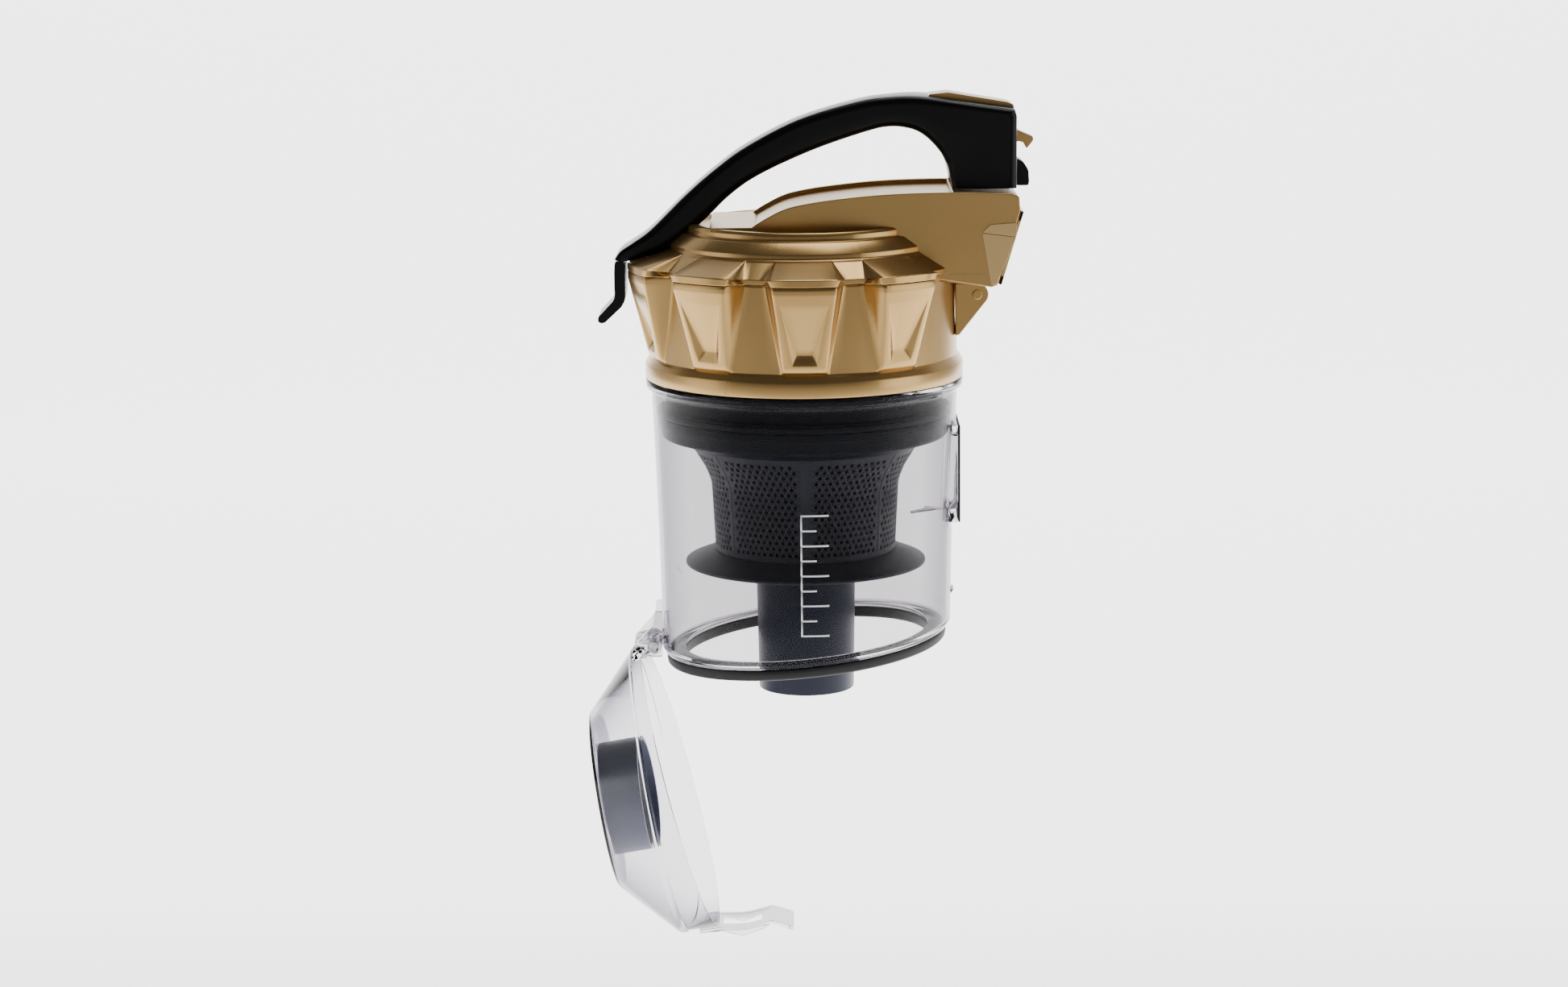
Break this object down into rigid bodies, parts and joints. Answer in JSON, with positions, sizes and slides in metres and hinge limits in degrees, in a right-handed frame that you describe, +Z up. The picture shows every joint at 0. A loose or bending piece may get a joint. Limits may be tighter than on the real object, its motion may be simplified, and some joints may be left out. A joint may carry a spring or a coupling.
{
  "type": "vacuum cleaner dust container",
  "caption": "Lobed cyclone dust container with a carrying handle, hinged lid and outlet duct, side inlet, and a clear bottom door hanging open.",
  "frame": {"origin": "middle of the hand's hold on the carrying grip, on the middle plane", "axes": "+Z up along the cyclone axis, +X towards the inlet, the outlet duct and the lid hinge, -X towards the latch tab and the door hinge, +Y across, away from the viewer when +X points right"},
  "size_m": [0.2254, 0.1756, 0.4289],
  "materials": {
    "gold_shell": "satin champagne-gold metallic coat on moulded plastic",
    "black_grip": "gloss black moulding",
    "slate_cyclone": "satin blue-grey moulding",
    "smoke_clear": "clear, lightly smoked polycarbonate",
    "clear": "clear polycarbonate with a faint violet edge",
    "charcoal_seal": "matt soft seal",
    "blue_socket": "dark blue translucent moulding",
    "steel": "bright zinc plated",
    "foam": "open-cell filter foam"
  },
  "bodies": {
    "container": {"cyclone_housing": "gold_shell", "cone_cluster": "slate_cyclone", "vortex_finder_plate": "slate_cyclone", "plate_screw_1": "steel", "plate_screw_2": "steel", "plate_screw_3": "steel", "cyclone_base": "slate_cyclone", "base_seal": "charcoal_seal", "mesh_shroud": "slate_cyclone", "shroud_skirt": "slate_cyclone", "dust_tube": "slate_cyclone", "dust_cup": "smoke_clear", "cup_gasket": "charcoal_seal", "inlet_seal": "charcoal_seal", "inlet_guide": "smoke_clear", "lid_hinge_pin": "gold_shell", "door_hinge_pin": "clear"},
    "lid": {"lid_cover": "gold_shell", "duct_floor": "gold_shell", "outlet_seal": "charcoal_seal", "lid_seal": "charcoal_seal", "filter_frame": "slate_cyclone", "foam_filter": "foam", "handle_shell": "black_grip", "grip_inlay": "black_grip", "handle_screw_1": "steel", "handle_screw_2": "steel", "rear_lug": "black_grip", "lever_pin": "steel", "lever_spring": "steel"},
    "release_lever": {"release_lever": "gold_shell"},
    "lid_latch": {"lid_latch_tab": "black_grip"},
    "bottom_door": {"door_bowl": "clear", "tube_socket": "blue_socket", "socket_seal": "charcoal_seal"},
    "door_latch": {"door_latch_arm": "clear"}
  },
  "joints": [
    {"name": "lid_hinge", "type": "hinge", "parent": "container", "child": "lid", "pos_m": [0.076, 0, -0.0824], "axis": [0, 1, 0], "range_deg": [0, 75]},
    {"name": "lever_pivot", "type": "hinge", "parent": "lid", "child": "release_lever", "pos_m": [0.082, 0, -0.001], "axis": [0, 1, 0], "range_deg": [-6, 0], "stiffness_Nm_per_rad": 1.2, "springref_deg": 5.73, "deforming": ["lever_spring"]},
    {"name": "lid_latch_flex", "type": "hinge", "parent": "lid", "child": "lid_latch", "pos_m": [-0.1024, 0, -0.0654], "axis": [0, 1, 0], "range_deg": [0, 8], "stiffness_Nm_per_rad": 1, "springref_deg": -2.86},
    {"name": "door_hinge", "type": "hinge", "parent": "container", "child": "bottom_door", "pos_m": [-0.0876, 0, -0.2608], "axis": [0, 1, 0], "range_deg": [-80.3, 12]},
    {"name": "door_latch_flex", "type": "hinge", "parent": "bottom_door", "child": "door_latch", "pos_m": [-0.06658, 0, -0.4105], "axis": [0, 1, 0], "range_deg": [0, 8], "stiffness_Nm_per_rad": 1, "springref_deg": -2.86}
  ]
}
